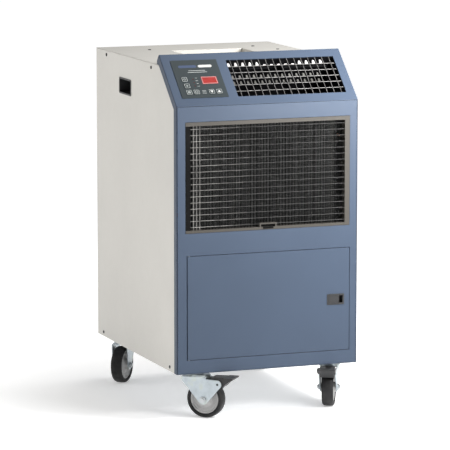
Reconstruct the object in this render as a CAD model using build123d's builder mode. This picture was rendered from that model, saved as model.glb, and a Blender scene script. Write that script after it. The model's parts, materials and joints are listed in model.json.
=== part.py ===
from build123d import *
import os
from math import atan2, cos, sin

# Portable dehumidifier: a sheet metal cabinet on four swivel casters.
# Frame: X across the front, +Y from the front to the back, +Z up. The origin is on the
# floor below the middle of the cabinet. All sizes are in millimetres.

# ---------------------------------------------------------------- driving dimensions
cabinet_width = 508.0
cabinet_depth = 650.0
caster_height = 124.0  # floor to the underside of the base pan
shoulder_height = 704.0  # base pan underside to the bend below the control slope
top_height = 800.0  # base pan underside to the top panel
slope_run = 134.7
slope_rise = 122.0
sheet = 1.5  # sheet metal thickness
seam = 0.4  # gap between neighbouring sheets
frame_depth = 20.5  # depth of the front frame's side flanges

half_width = cabinet_width / 2
front_y = -cabinet_depth / 2
rear_y = cabinet_depth / 2
base_z = caster_height
shoulder_z = base_z + shoulder_height
top_z = base_z + top_height
crest_y = front_y + slope_run
crest_z = shoulder_z + slope_rise
slope_angle = atan2(slope_rise, slope_run)
up_y = cos(slope_angle)  # direction up the slope
up_z = sin(slope_angle)

# The slope's own plane: local x from the left edge, local y up the slope, z outwards.
slope = Plane(origin=(-half_width, front_y, shoulder_z), x_dir=(1, 0, 0), z_dir=(0, -up_z, up_y))

# Openings in the lower front panel: x from the cabinet's left edge, z from the base.
filter_left = 24.5
filter_right = 485.5
filter_low = 371.0
filter_high = 662.0
door_left = 27.7
door_right = 486.9
door_low = 36.0
door_high = 312.0
panel_return = 12.0  # folded edges of the panel's openings

# Control area and air outlet on the slope: x from the left edge, s up the slope.
label_x = (24.0, 152.5)
label_s = (26.5, 158.5)
label_thickness = 1.0
outlet_x = (178.5, 483.2)
outlet_s = (26.8, 155.4)
display_x = (93.0, 136.0)
display_s = (74.0, 99.0)
button_size = 16.4
button_gap = 0.35
button_places = {
    "power": (47.0, 91.5),
    "mode": (48.0, 68.8),
    "timer": (48.0, 46.5),
    "fan_speed": (68.5, 46.5),
    "down": (110.5, 46.5),
    "up": (131.0, 46.5),
}
light_x = 70.5
light_s = (68.0, 80.0, 92.0)

# Pocket handles in the side panels: y from the front face, z from the base.
handle_y = (356.0, 454.0)
handle_z = (694.0, 738.5)
handle_depth = 42.0

# Recess in the top panel.
recess_x = (-93.0, 113.0)
recess_y = (-75.0, 160.0)
recess_depth = 12.0

# Casters: stem place, and the heading of the trailing side from +Y towards +X.
caster_places = {
    "front_left": (-174.0, -284.0, 132.0),
    "front_right": (206.0, -254.0, 208.0),
    "rear_left": (-206.0, 240.0, 220.0),
    "rear_right": (206.0, 266.0, 40.0),
}
wheel_radius = 50.8
wheel_width = 32.0
caster_trail = 17.0
core_radius = 39.0
axle_radius = 5.0
stem_radius = 6.0
running_gap = 0.05

os.makedirs("parts", exist_ok=True)


def save(shape, name):
    shape.label = name
    export_step(shape, "parts/" + name + ".step")


def slope_line_y(depth, z):
    """Y at height z on the line that runs parallel to the slope, depth behind it."""
    return front_y + depth * up_z + (z - shoulder_z + depth * up_y) * up_y / up_z


def slope_line_z(depth, y):
    """Height at y on the line that runs parallel to the slope, depth behind it."""
    return shoulder_z - depth * up_y + (y - front_y - depth * up_z) * up_z / up_y


# ---------------------------------------------------------------- base pan
pan_half_x = half_width - sheet - seam
pan_front = front_y + frame_depth + seam
pan_rear = rear_y - sheet - seam
pan_depth = pan_rear - pan_front
pan_rim = 25.0
with BuildPart() as base_pan:
    with BuildSketch(Plane.XY.offset(base_z)):
        with Locations((0, (pan_front + pan_rear) / 2)):
            Rectangle(2 * pan_half_x, pan_depth)
    extrude(amount=pan_rim)
    with BuildSketch(Plane.XY.offset(base_z + sheet)):
        with Locations((0, (pan_front + pan_rear) / 2)):
            Rectangle(2 * (pan_half_x - sheet), pan_depth - 2 * sheet)
    extrude(amount=pan_rim, mode=Mode.SUBTRACT)
    with BuildSketch(Plane.XY.offset(base_z)):
        for stem_x, stem_y, heading in caster_places.values():
            with Locations((stem_x, stem_y)):
                Circle(stem_radius + 0.2)
    extrude(amount=sheet, mode=Mode.SUBTRACT)
save(base_pan.part, "base_pan")

# ---------------------------------------------------------------- front frame
# A face that bends at the shoulder, with side flanges that follow it all the way round.
flange_y = front_y + frame_depth
back_y = crest_y + frame_depth * up_z
back_z = crest_z - frame_depth * up_y
frame_foot_z = top_z + 0.3  # where the frame's back edge meets the top panel
with BuildPart() as front_frame:
    with BuildSketch(Plane.YZ.offset(-half_width)):
        with BuildLine():
            Polyline(
                (front_y, base_z),
                (front_y, shoulder_z),
                (crest_y, crest_z),
                (back_y, back_z),
                (back_y, frame_foot_z),
                (slope_line_y(frame_depth, frame_foot_z), frame_foot_z),
                (flange_y, slope_line_z(frame_depth, flange_y)),
                (flange_y, base_z),
                close=True,
            )
        make_face()
    extrude(amount=cabinet_width)
    side_edges = front_frame.faces().filter_by(Axis.X).edges().filter_by(
        lambda e: e.center().Y < front_y + 0.1 or e.center().Z > shoulder_z + 20
    )
    outer_edges = side_edges.filter_by(
        lambda e: abs((e.center().Y - front_y) * up_z - (e.center().Z - shoulder_z) * up_y) < 0.5
        or abs(e.center().Y - front_y) < 0.1
    )
    fillet(outer_edges, 2.0)
    # The inside of the flanged shell.
    with BuildSketch(Plane.YZ.offset(-half_width + sheet)):
        with BuildLine():
            Polyline(
                (front_y + sheet, base_z + sheet),
                (front_y + sheet, slope_line_z(sheet, front_y + sheet)),
                (crest_y + sheet * up_z - sheet * up_y, crest_z - sheet * up_y - sheet * up_z),
                (back_y - sheet, slope_line_z(frame_depth, back_y - sheet)),
                (back_y - sheet, base_z + sheet),
                close=True,
            )
        make_face()
    extrude(amount=cabinet_width - 2 * sheet, mode=Mode.SUBTRACT)
    # The opening for the lower front panel.
    with BuildSketch(Plane.XZ.offset(-front_y - 3)):
        with BuildLine():
            Polyline(
                (-half_width + sheet, base_z + sheet),
                (half_width - sheet, base_z + sheet),
                (half_width - sheet, shoulder_z - 1.0),
                (-half_width + sheet, shoulder_z - 1.0),
                close=True,
            )
        make_face()
    extrude(amount=8, mode=Mode.SUBTRACT)
    # Windows in the slope for the controls and the air outlet.
    with BuildSketch(slope.offset(2)):
        with Locations(((label_x[0] + label_x[1]) / 2, (label_s[0] + label_s[1]) / 2)):
            Rectangle(label_x[1] - label_x[0] - 20, label_s[1] - label_s[0] - 20)
        with Locations(((outlet_x[0] + outlet_x[1]) / 2, (outlet_s[0] + outlet_s[1]) / 2)):
            RectangleRounded(outlet_x[1] - outlet_x[0], outlet_s[1] - outlet_s[0], 3)
    extrude(amount=-6, mode=Mode.SUBTRACT)
save(front_frame.part, "front_frame")

# ---------------------------------------------------------------- lower front panel
panel_half_x = half_width - sheet - 1.2
panel_low = base_z + sheet + 0.6
panel_high = shoulder_z - 1.9
filter_mid_x = (filter_left + filter_right) / 2 - half_width
filter_mid_z = base_z + (filter_low + filter_high) / 2
door_mid_x = (door_left + door_right) / 2 - half_width
door_mid_z = base_z + (door_low + door_high) / 2
filter_w = filter_right - filter_left
filter_h = filter_high - filter_low
door_w = door_right - door_left
door_h = door_high - door_low
hinge_x = door_left - half_width + 7.5
hinge_y = front_y + 5.0
pin_radius = 3.0
with BuildPart() as front_panel:
    with BuildSketch(Plane.XZ.offset(-front_y)):
        with Locations((0, (panel_low + panel_high) / 2)):
            Rectangle(2 * panel_half_x, panel_high - panel_low)
    extrude(amount=-sheet)
    with BuildSketch(Plane.XZ.offset(-front_y - sheet)):
        with Locations((filter_mid_x, filter_mid_z)):
            Rectangle(filter_w + 2 * sheet, filter_h + 2 * sheet)
        with Locations((door_mid_x, door_mid_z)):
            Rectangle(door_w + 2 * sheet, door_h + 2 * sheet)
    extrude(amount=-(panel_return - sheet))
    with BuildSketch(Plane.XZ.offset(-front_y)):
        with Locations((filter_mid_x, filter_mid_z)):
            Rectangle(filter_w, filter_h)
        with Locations((door_mid_x, door_mid_z)):
            Rectangle(door_w, door_h)
    extrude(amount=-panel_return, mode=Mode.SUBTRACT)
    with BuildSketch(Plane.XY.offset(base_z + door_low - 2 * sheet)):
        with Locations((hinge_x, hinge_y)):
            Circle(pin_radius)
    extrude(amount=door_h + 4 * sheet, mode=Mode.SUBTRACT)
save(front_panel.part, "front_panel")

# ---------------------------------------------------------------- access door and its pins
door_gap_left = 2.5
door_gap = 1.3
door_x0 = door_left - half_width + door_gap_left
door_x1 = door_right - half_width - door_gap
door_z0 = base_z + door_low + door_gap
door_z1 = base_z + door_high - door_gap
door_fold = 10.5
latch_x = (422.3 - half_width, 471.1 - half_width)
latch_z = (base_z + 159.5, base_z + 188.4)
latch_mid = ((latch_x[0] + latch_x[1]) / 2, (latch_z[0] + latch_z[1]) / 2)
latch_w = latch_x[1] - latch_x[0]
latch_h = latch_z[1] - latch_z[0]
bezel_lip = 2.5
with BuildPart() as access_door:
    with BuildSketch(Plane.XZ.offset(-front_y)):
        with Locations(((door_x0 + door_x1) / 2, (door_z0 + door_z1) / 2)):
            Rectangle(door_x1 - door_x0, door_z1 - door_z0)
    extrude(amount=-door_fold)
    with BuildSketch(Plane.XZ.offset(-front_y - sheet)):
        with Locations(((door_x0 + door_x1) / 2, (door_z0 + door_z1) / 2)):
            Rectangle(door_x1 - door_x0 - 2 * sheet, door_z1 - door_z0 - 2 * sheet)
    extrude(amount=-door_fold, mode=Mode.SUBTRACT)
    with BuildSketch(Plane.XZ.offset(-front_y)):
        with Locations(latch_mid):
            Rectangle(latch_w - 2 * bezel_lip + 0.2, latch_h - 2 * bezel_lip + 0.2)
    extrude(amount=-sheet, mode=Mode.SUBTRACT)
    with BuildSketch(Plane.XY.offset(door_z0 - 1)):
        with Locations((hinge_x, hinge_y)):
            Circle(pin_radius + running_gap)
    extrude(amount=door_z1 - door_z0 + 2, mode=Mode.SUBTRACT)
save(access_door.part, "access_door")

pin_reach = 6.0
with BuildPart() as door_hinge_pins:
    with BuildSketch(Plane.XY.offset(base_z + door_high - pin_reach)):
        with Locations((hinge_x, hinge_y)):
            Circle(pin_radius)
    extrude(amount=pin_reach + sheet)
    with BuildSketch(Plane.XY.offset(base_z + door_low - sheet)):
        with Locations((hinge_x, hinge_y)):
            Circle(pin_radius)
    extrude(amount=pin_reach + sheet)
save(door_hinge_pins.part, "door_hinge_pins")

# ---------------------------------------------------------------- latch
pocket_depth = 14.0
paddle_length = 27.0
trunnion_radius = 1.4
trunnion_x = latch_x[0] + bezel_lip + 2.6
trunnion_y = front_y + 1.6
wall = 2.0
pocket_h = latch_h - 2 * bezel_lip - 2 * wall
with BuildPart() as latch_bezel:
    with BuildSketch(Plane.XZ.offset(-front_y + 1.2)):
        with Locations(latch_mid):
            RectangleRounded(latch_w, latch_h, 2.0)
    extrude(amount=-1.1)
    with BuildSketch(Plane.XZ.offset(-front_y + 0.1)):
        with Locations(latch_mid):
            Rectangle(latch_w - 2 * bezel_lip, latch_h - 2 * bezel_lip)
    extrude(amount=-(pocket_depth + wall))
    with BuildSketch(Plane.XZ.offset(-front_y + 1.2)):
        with Locations(latch_mid):
            Rectangle(latch_w - 2 * bezel_lip - 2 * wall, pocket_h)
    extrude(amount=-(pocket_depth + 1.2), mode=Mode.SUBTRACT)
    with BuildSketch(Plane.XY.offset(latch_mid[1] - pocket_h / 2 - 1.2)):
        with Locations((trunnion_x + wall, trunnion_y)):
            Circle(trunnion_radius + running_gap)
    extrude(amount=pocket_h + 2.4, mode=Mode.SUBTRACT)
save(latch_bezel.part, "latch_bezel")

paddle_x = trunnion_x + wall
with BuildPart() as latch_paddle:
    with BuildSketch(Plane.XY.offset(latch_mid[1] - pocket_h / 2 + 0.35)):
        with BuildLine():
            Polyline(
                (paddle_x - 1.5, trunnion_y - 1.5),
                (paddle_x + paddle_length, trunnion_y - 2.2),
                (paddle_x + paddle_length, trunnion_y + 0.8),
                (paddle_x + 1.5, trunnion_y + 1.5),
                (paddle_x - 1.5, trunnion_y + 1.5),
                close=True,
            )
        make_face()
    extrude(amount=pocket_h - 0.7)
    with BuildSketch(Plane.XY.offset(latch_mid[1] - pocket_h / 2 - 0.9)):
        with Locations((paddle_x, trunnion_y)):
            Circle(trunnion_radius)
    extrude(amount=pocket_h + 1.8)
save(latch_paddle.part, "latch_paddle")

# ---------------------------------------------------------------- air filter
filter_clear = 0.6
filter_x0 = filter_left - half_width + filter_clear
filter_x1 = filter_right - half_width - filter_clear
filter_z0 = base_z + filter_low + filter_clear
filter_z1 = base_z + filter_high - filter_clear
filter_thickness = 20.0
side_bar = 13.5
top_bar = 10.0
bottom_bar = 7.0
rib_count = 17
rib_size = 1.8
tab_x = (231.0 - half_width, 278.5 - half_width)
tab_top = base_z + 389.0
tab_wall = 3.5
notch_depth = 13.0
opening_x0 = filter_x0 + side_bar
opening_x1 = filter_x1 - side_bar
opening_z0 = filter_z0 + bottom_bar
opening_z1 = filter_z1 - top_bar
rib_pitch = (opening_z1 - opening_z0) / rib_count
with BuildPart() as filter_frame:
    with BuildSketch(Plane.XZ.offset(-front_y + 0.5)):
        with Locations(((filter_x0 + filter_x1) / 2, (filter_z0 + filter_z1) / 2)):
            Rectangle(filter_x1 - filter_x0, filter_z1 - filter_z0)
    extrude(amount=-filter_thickness)
    with BuildSketch(Plane.XZ.offset(-front_y + 0.5)):
        with Locations(((opening_x0 + opening_x1) / 2, (opening_z0 + opening_z1) / 2)):
            Rectangle(opening_x1 - opening_x0, opening_z1 - opening_z0)
    extrude(amount=-filter_thickness, mode=Mode.SUBTRACT)
    # Ribs across the opening.
    with BuildSketch(Plane.XZ.offset(-front_y - 1.5)):
        for rib in range(rib_count):
            with Locations(((opening_x0 + opening_x1) / 2, opening_z1 - (rib + 0.5) * rib_pitch)):
                Rectangle(opening_x1 - opening_x0 + 1, rib_size)
    extrude(amount=-rib_size)
    # Pull tab with its finger notch.
    with BuildSketch(Plane.XZ.offset(-front_y + 0.5)):
        with Locations(((tab_x[0] + tab_x[1]) / 2, (filter_z0 + tab_top) / 2)):
            Rectangle(tab_x[1] - tab_x[0], tab_top - filter_z0)
    extrude(amount=-(notch_depth + 2.5))
    with BuildSketch(Plane.XZ.offset(-front_y + 0.5)):
        with Locations(((tab_x[0] + tab_x[1]) / 2, (filter_z0 + tab_top - tab_wall) / 2 + 1)):
            Rectangle(tab_x[1] - tab_x[0] - 2 * tab_wall, tab_top - tab_wall - filter_z0 - 2)
    extrude(amount=-notch_depth, mode=Mode.SUBTRACT)
save(filter_frame.part, "filter_frame")

net_y = front_y + filter_thickness - 3.5
with BuildPart() as filter_net:
    with BuildSketch(Plane.XZ.offset(-net_y)):
        with Locations(((opening_x0 + opening_x1) / 2, (opening_z0 + opening_z1) / 2)):
            Rectangle(opening_x1 - opening_x0 - 0.2, opening_z1 - opening_z0 - 0.2)
    extrude(amount=-1.5)
save(filter_net.part, "filter_net")

# ---------------------------------------------------------------- side panels
# The outline follows the rear edge of the front frame's flange.
panel_front = flange_y + seam
side_top_z = top_z - sheet - 0.2
shoulder_corner_z = slope_line_z(frame_depth + seam, panel_front)
top_corner_y = slope_line_y(frame_depth + seam, side_top_z)
handle_mid = (front_y + (handle_y[0] + handle_y[1]) / 2, base_z + (handle_z[0] + handle_z[1]) / 2)
handle_w = handle_y[1] - handle_y[0]
handle_h = handle_z[1] - handle_z[0]
for side, sign in (("left", -1), ("right", 1)):
    start = -half_width if sign < 0 else half_width - sheet
    with BuildPart() as side_panel:
        with BuildSketch(Plane.YZ.offset(start)):
            with BuildLine():
                Polyline(
                    (panel_front, base_z),
                    (panel_front, shoulder_corner_z),
                    (top_corner_y, side_top_z),
                    (rear_y, side_top_z),
                    (rear_y, base_z),
                    close=True,
                )
            make_face()
            with Locations(handle_mid):
                RectangleRounded(handle_w - 4, handle_h - 4, 4, mode=Mode.SUBTRACT)
        extrude(amount=sheet)
        # The rear edge is slightly rounded where the sheet would fold.
        outer_x = -half_width if sign < 0 else half_width
        rear_edge = side_panel.edges().filter_by(Axis.Z).filter_by(
            lambda e: abs(e.center().Y - rear_y) < 0.1 and abs(e.center().X - outer_x) < 0.1
        )
        fillet(rear_edge, 1.2)
    save(side_panel.part, "side_panel_" + side)

    # Pocket handle: a moulded cup with a thin flange on the panel's face.
    flange_start = -half_width if sign < 0 else half_width
    with BuildPart() as handle_cup:
        with BuildSketch(Plane.YZ.offset(flange_start)):
            with Locations(handle_mid):
                RectangleRounded(handle_w, handle_h, 5)
        extrude(amount=sign * 1.2)
        with BuildSketch(Plane.YZ.offset(flange_start)):
            with Locations(handle_mid):
                RectangleRounded(handle_w - 4.6, handle_h - 4.6, 4)
        extrude(amount=-sign * (handle_depth + 2))
        with BuildSketch(Plane.YZ.offset(flange_start + sign * 1.2)):
            with Locations(handle_mid):
                RectangleRounded(handle_w - 9, handle_h - 9, 3)
        extrude(amount=-sign * (handle_depth + 1.2), mode=Mode.SUBTRACT)
    save(handle_cup.part, "handle_cup_" + side)

# ---------------------------------------------------------------- top panel with its recess
lid_front = back_y - sheet - 3.0
lid_fold = 14.0
recess_mid = ((recess_x[0] + recess_x[1]) / 2, (recess_y[0] + recess_y[1]) / 2)
recess_w = recess_x[1] - recess_x[0]
recess_l = recess_y[1] - recess_y[0]
lid_mid_y = (lid_front + rear_y) / 2
lid_depth = rear_y - lid_front
fold_mid_y = (back_y + 8 + rear_y - sheet - seam - 2) / 2
fold_depth = rear_y - sheet - seam - 2 - (back_y + 8)
with BuildPart() as top_panel:
    with BuildSketch(Plane.XY.offset(top_z - sheet)):
        with Locations((0, lid_mid_y)):
            Rectangle(cabinet_width, lid_depth)
    extrude(amount=sheet)
    lid_edges = top_panel.faces().sort_by(Axis.Z)[-1].edges().filter_by(
        lambda e: e.center().Y > lid_front + 1
    )
    fillet(lid_edges, 1.2)
    # Folds that the side panels are screwed to.
    with BuildSketch(Plane.XY.offset(top_z - sheet)):
        with Locations((0, fold_mid_y)):
            Rectangle(2 * pan_half_x, fold_depth)
            Rectangle(2 * (pan_half_x - sheet), fold_depth, mode=Mode.SUBTRACT)
    extrude(amount=-lid_fold)
    with BuildSketch(Plane.XY.offset(top_z - sheet)):
        with Locations(recess_mid):
            Rectangle(recess_w + 2 * sheet, recess_l + 2 * sheet)
    extrude(amount=-recess_depth)
    with BuildSketch(Plane.XY.offset(top_z)):
        with Locations(recess_mid):
            RectangleRounded(recess_w, recess_l, 3)
    extrude(amount=-recess_depth, mode=Mode.SUBTRACT)
save(top_panel.part, "top_panel")

# ---------------------------------------------------------------- rear panel
louvre_rows = 9
louvre_pitch = 16.0
louvre_length = 150.0
drain_place = (150.0, base_z + 70.0)
gland_place = (-170.0, base_z + 70.0)
drain_bore = 12.0
gland_bore = 8.0
rear_panel_half = pan_half_x
with BuildPart() as rear_panel:
    with BuildSketch(Plane.XZ.offset(-rear_y + sheet)):
        with Locations((0, (base_z + side_top_z) / 2)):
            Rectangle(2 * rear_panel_half, side_top_z - base_z)
        for bank in (-110.0, 110.0):
            for row in range(louvre_rows):
                with Locations((bank, base_z + 190.0 + row * louvre_pitch)):
                    SlotOverall(louvre_length, 5.0, mode=Mode.SUBTRACT)
        with Locations(drain_place):
            Circle(drain_bore, mode=Mode.SUBTRACT)
        with Locations(gland_place):
            Circle(gland_bore, mode=Mode.SUBTRACT)
    extrude(amount=-sheet)
save(rear_panel.part, "rear_panel")

# Drain spout: a barbed bulkhead fitting through the rear panel.
spout_radius = 8.0
spout_bore = 5.5
spout_reach = 40.0
with BuildPart() as drain_spout:
    with BuildSketch(Plane.XZ.offset(-rear_y)):
        with Locations(drain_place):
            RegularPolygon(16, 6)
    extrude(amount=-5)
    with BuildSketch(Plane.XZ.offset(-rear_y)):
        with Locations(drain_place):
            Circle(spout_radius)
    extrude(amount=-spout_reach)
    with BuildSketch(Plane.XZ.offset(-rear_y)):
        with Locations(drain_place):
            Circle(drain_bore - 0.2)
    extrude(amount=14)
    with BuildSketch(Plane.XZ.offset(-rear_y - spout_reach)):
        with Locations(drain_place):
            Circle(spout_bore)
    extrude(amount=spout_reach + 14, mode=Mode.SUBTRACT)
save(drain_spout.part, "drain_spout")

# Cord gland: a nut outside, a threaded body through the panel, and the cord's bore.
cord_bore = 4.0
with BuildPart() as cord_gland:
    with BuildSketch(Plane.XZ.offset(-rear_y)):
        with Locations(gland_place):
            RegularPolygon(13, 6)
    extrude(amount=-5)
    with BuildSketch(Plane.XZ.offset(-rear_y - 5)):
        with Locations(gland_place):
            Circle(11)
    extrude(amount=-14, taper=12)
    with BuildSketch(Plane.XZ.offset(-rear_y)):
        with Locations(gland_place):
            Circle(gland_bore - 0.2)
    extrude(amount=12)
    with BuildSketch(Plane.XZ.offset(-rear_y - 19)):
        with Locations(gland_place):
            Circle(cord_bore)
    extrude(amount=31, mode=Mode.SUBTRACT)
save(cord_gland.part, "cord_gland")

# ---------------------------------------------------------------- air outlet in the slope
outlet_mid = ((outlet_x[0] + outlet_x[1]) / 2, (outlet_s[0] + outlet_s[1]) / 2)
outlet_w = outlet_x[1] - outlet_x[0]
outlet_h = outlet_s[1] - outlet_s[0]
wire_pitch = 20.0
wire_count = 15
wire_rows = 5
wire_size = 2.2
row_pitch = outlet_h / (wire_rows + 1)
guard_border = 4.0
with BuildPart() as outlet_guard:
    with BuildSketch(slope.offset(-sheet - 0.1)):
        with Locations(outlet_mid):
            Rectangle(outlet_w + 2 * guard_border, outlet_h + 2 * guard_border)
            Rectangle(outlet_w, outlet_h, mode=Mode.SUBTRACT)
            with GridLocations(wire_pitch, 0, wire_count, 1):
                Rectangle(wire_size, outlet_h + 1)
            with GridLocations(0, row_pitch, 1, wire_rows):
                Rectangle(outlet_w + 1, wire_size)
    extrude(amount=-wire_size)
save(outlet_guard.part, "outlet_guard")

# Curved upright vanes, tied together by two cross bars.
vane_top = -sheet - 0.1 - wire_size - 1.5
vane_depth = 26.0
vane_thickness = 1.6
vane_bow = 5.0
vane_count = 15
with BuildPart() as outlet_vanes:
    vane_base = Plane(
        origin=slope.from_local_coords((outlet_mid[0], outlet_s[0] + 2, vane_top)),
        x_dir=(1, 0, 0),
        z_dir=(0, up_y, up_z),
    )
    with BuildSketch(vane_base):
        with GridLocations(wire_pitch, 0, vane_count, 1):
            with BuildLine():
                ThreePointArc((0, 0), (vane_bow, vane_depth / 2), (0, vane_depth))
                Line((0, vane_depth), (vane_thickness, vane_depth))
                ThreePointArc(
                    (vane_thickness, vane_depth),
                    (vane_bow + vane_thickness, vane_depth / 2),
                    (vane_thickness, 0),
                )
                Line((vane_thickness, 0), (0, 0))
            make_face()
    extrude(amount=outlet_h - 4)
    with BuildSketch(slope.offset(vane_top - vane_depth + 3)):
        with Locations(outlet_mid):
            with GridLocations(0, outlet_h - 16, 1, 2):
                Rectangle((vane_count - 1) * wire_pitch + 4, 4)
    extrude(amount=-3)
save(outlet_vanes.part, "outlet_vanes")

# Duct: an open rectangular tube behind the guard.
duct_wall = 2.0
duct_top = -sheet - 0.1 - wire_size - 0.2
duct_bottom = -74.0
with BuildPart() as outlet_duct:
    with BuildSketch(slope.offset(duct_top)):
        with Locations(outlet_mid):
            Rectangle(outlet_w + 2 * duct_wall, outlet_h + 2 * duct_wall)
            Rectangle(outlet_w, outlet_h, mode=Mode.SUBTRACT)
    extrude(amount=-(duct_top - duct_bottom))
save(outlet_duct.part, "outlet_duct")

# ---------------------------------------------------------------- blower
# Side plane of the blower: local x up the slope, local y outwards, extruded along +X.
blower_left = outlet_x[0] - half_width
blower_side = Plane(origin=(blower_left, front_y, shoulder_z), x_dir=(0, up_y, up_z), z_dir=(1, 0, 0))
scroll_radius = 112.0
scroll_s = outlet_s[1] - scroll_radius
scroll_d = -300.0
inlet_radius = 76.0
throat_top = duct_bottom - 0.5
with BuildPart() as blower_housing:
    with BuildSketch(blower_side):
        with Locations((scroll_s, scroll_d)):
            Circle(scroll_radius)
        with Locations((outlet_mid[1], (throat_top + scroll_d) / 2)):
            Rectangle(outlet_h, throat_top - scroll_d)
    extrude(amount=outlet_w)
    with BuildSketch(blower_side.offset(duct_wall)):
        with Locations((scroll_s, scroll_d)):
            Circle(scroll_radius - duct_wall)
        with Locations((outlet_mid[1], (throat_top + scroll_d) / 2 + 1)):
            Rectangle(outlet_h - 2 * duct_wall, throat_top - scroll_d + 2)
    extrude(amount=outlet_w - 2 * duct_wall, mode=Mode.SUBTRACT)
    with BuildSketch(blower_side.offset(-1)):
        with Locations((scroll_s, scroll_d)):
            Circle(inlet_radius)
    extrude(amount=outlet_w + 2, mode=Mode.SUBTRACT)
save(blower_housing.part, "blower_housing")

# Fan wheel: two end rings, a middle disc with a hub and shaft, and blades between.
fan_radius = 84.0
fan_length = 240.0
blade_count = 30
blade_chord = 16.0
shaft_radius = 6.0
fan_start = (outlet_w - fan_length) / 2
shaft_reach = 80.0
with BuildPart() as fan_wheel:
    with BuildSketch(blower_side.offset(fan_start)):
        with Locations((scroll_s, scroll_d)):
            Circle(fan_radius)
            Circle(fan_radius - blade_chord, mode=Mode.SUBTRACT)
    extrude(amount=3)
    with BuildSketch(blower_side.offset(fan_start + fan_length - 3)):
        with Locations((scroll_s, scroll_d)):
            Circle(fan_radius)
            Circle(fan_radius - blade_chord, mode=Mode.SUBTRACT)
    extrude(amount=3)
    with BuildSketch(blower_side.offset(fan_start + fan_length / 2 - 1.5)):
        with Locations((scroll_s, scroll_d)):
            Circle(fan_radius)
    extrude(amount=3)
    with BuildSketch(blower_side.offset(fan_start)):
        with Locations((scroll_s, scroll_d)):
            with PolarLocations(fan_radius - blade_chord / 2, blade_count):
                Rectangle(blade_chord - 2, 1.5, rotation=28)
    extrude(amount=fan_length)
    with BuildSketch(blower_side.offset(-shaft_reach)):
        with Locations((scroll_s, scroll_d)):
            Circle(shaft_radius)
    extrude(amount=shaft_reach + fan_start + fan_length / 2)
    with BuildSketch(blower_side.offset(fan_start + fan_length / 2 - 20)):
        with Locations((scroll_s, scroll_d)):
            Circle(16)
    extrude(amount=40)
save(fan_wheel.part, "fan_wheel")

motor_radius = 52.0
motor_length = 84.0
motor_gap = 12.0
with BuildPart() as fan_motor:
    with BuildSketch(blower_side.offset(-motor_gap)):
        with Locations((scroll_s, scroll_d)):
            Circle(motor_radius)
    extrude(amount=-motor_length)
    motor_rims = fan_motor.edges().filter_by(GeomType.CIRCLE)
    fillet(motor_rims, 8)
    with BuildSketch(blower_side.offset(-motor_gap)):
        with Locations((scroll_s, scroll_d)):
            Circle(shaft_radius + running_gap)
    extrude(amount=-(shaft_reach - motor_gap + 2), mode=Mode.SUBTRACT)
    # Mounting arms to the blower housing.
    with BuildSketch(blower_side.offset(-motor_gap - 6)):
        with Locations((scroll_s, scroll_d)):
            with PolarLocations(66, 3, start_angle=30):
                Rectangle(54, 12)
            Circle(motor_radius - 6, mode=Mode.SUBTRACT)
    extrude(amount=4)
    with BuildSketch(blower_side.offset(-motor_gap - 6)):
        with Locations((scroll_s, scroll_d)):
            with PolarLocations(87, 3, start_angle=30):
                Circle(5)
    extrude(amount=motor_gap + 6)
save(fan_motor.part, "fan_motor")

# ---------------------------------------------------------------- controls
label_mid = ((label_x[0] + label_x[1]) / 2, (label_s[0] + label_s[1]) / 2)
display_mid = ((display_x[0] + display_x[1]) / 2, (display_s[0] + display_s[1]) / 2)
display_w = display_x[1] - display_x[0]
display_h = display_s[1] - display_s[0]
with BuildPart() as control_label:
    with BuildSketch(slope):
        with Locations(label_mid):
            RectangleRounded(label_x[1] - label_x[0], label_s[1] - label_s[0], 2)
        for place in button_places.values():
            with Locations(place):
                RectangleRounded(
                    button_size + 2 * button_gap, button_size + 2 * button_gap, 2, mode=Mode.SUBTRACT
                )
        with Locations(display_mid):
            RectangleRounded(display_w + 0.4, display_h + 0.4, 1.5, mode=Mode.SUBTRACT)
        for place_s in light_s:
            with Locations((light_x, place_s)):
                Circle(1.9, mode=Mode.SUBTRACT)
    extrude(amount=label_thickness)
save(control_label.part, "control_label")

with BuildPart() as display_window:
    with BuildSketch(slope.offset(-3)):
        with Locations(display_mid):
            RectangleRounded(display_w, display_h, 1.4)
    extrude(amount=3 + label_thickness + 0.3)
save(display_window.part, "display_window")

with BuildPart() as indicator_lights:
    with BuildSketch(slope.offset(-3)):
        for place_s in light_s:
            with Locations((light_x, place_s)):
                Circle(1.7)
    extrude(amount=3 + label_thickness + 0.4)
save(indicator_lights.part, "indicator_lights")

button_proud = 1.8
button_stem = 5.0
for button_name, place in button_places.items():
    with BuildPart() as button:
        with BuildSketch(slope.offset(-button_stem)):
            with Locations(place):
                RectangleRounded(button_size, button_size, 1.8)
        extrude(amount=button_stem + button_proud)
        button_top = button.faces().sort_by(Axis((0, 0, 0), (0, -up_z, up_y)))[-1].edges()
        fillet(button_top, 0.5)
    save(button.part, "button_" + button_name)

board_depth = -11.0
board_w = 120.0
board_h = 124.0
with BuildPart() as control_board:
    with BuildSketch(slope.offset(board_depth)):
        with Locations(label_mid):
            Rectangle(board_w + 6, board_h + 4)
    extrude(amount=-1.6)
    with BuildSketch(slope.offset(board_depth)):
        with Locations(label_mid):
            with GridLocations(board_w - 4, board_h - 4, 2, 2):
                Circle(2.5)
    extrude(amount=-board_depth - sheet)
    with BuildSketch(slope.offset(board_depth - 1.6)):
        with Locations((label_mid[0] - 25, label_mid[1] + 20), (label_mid[0] + 25, label_mid[1] - 20)):
            Rectangle(26, 18)
    extrude(amount=-8)
save(control_board.part, "control_board")

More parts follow.
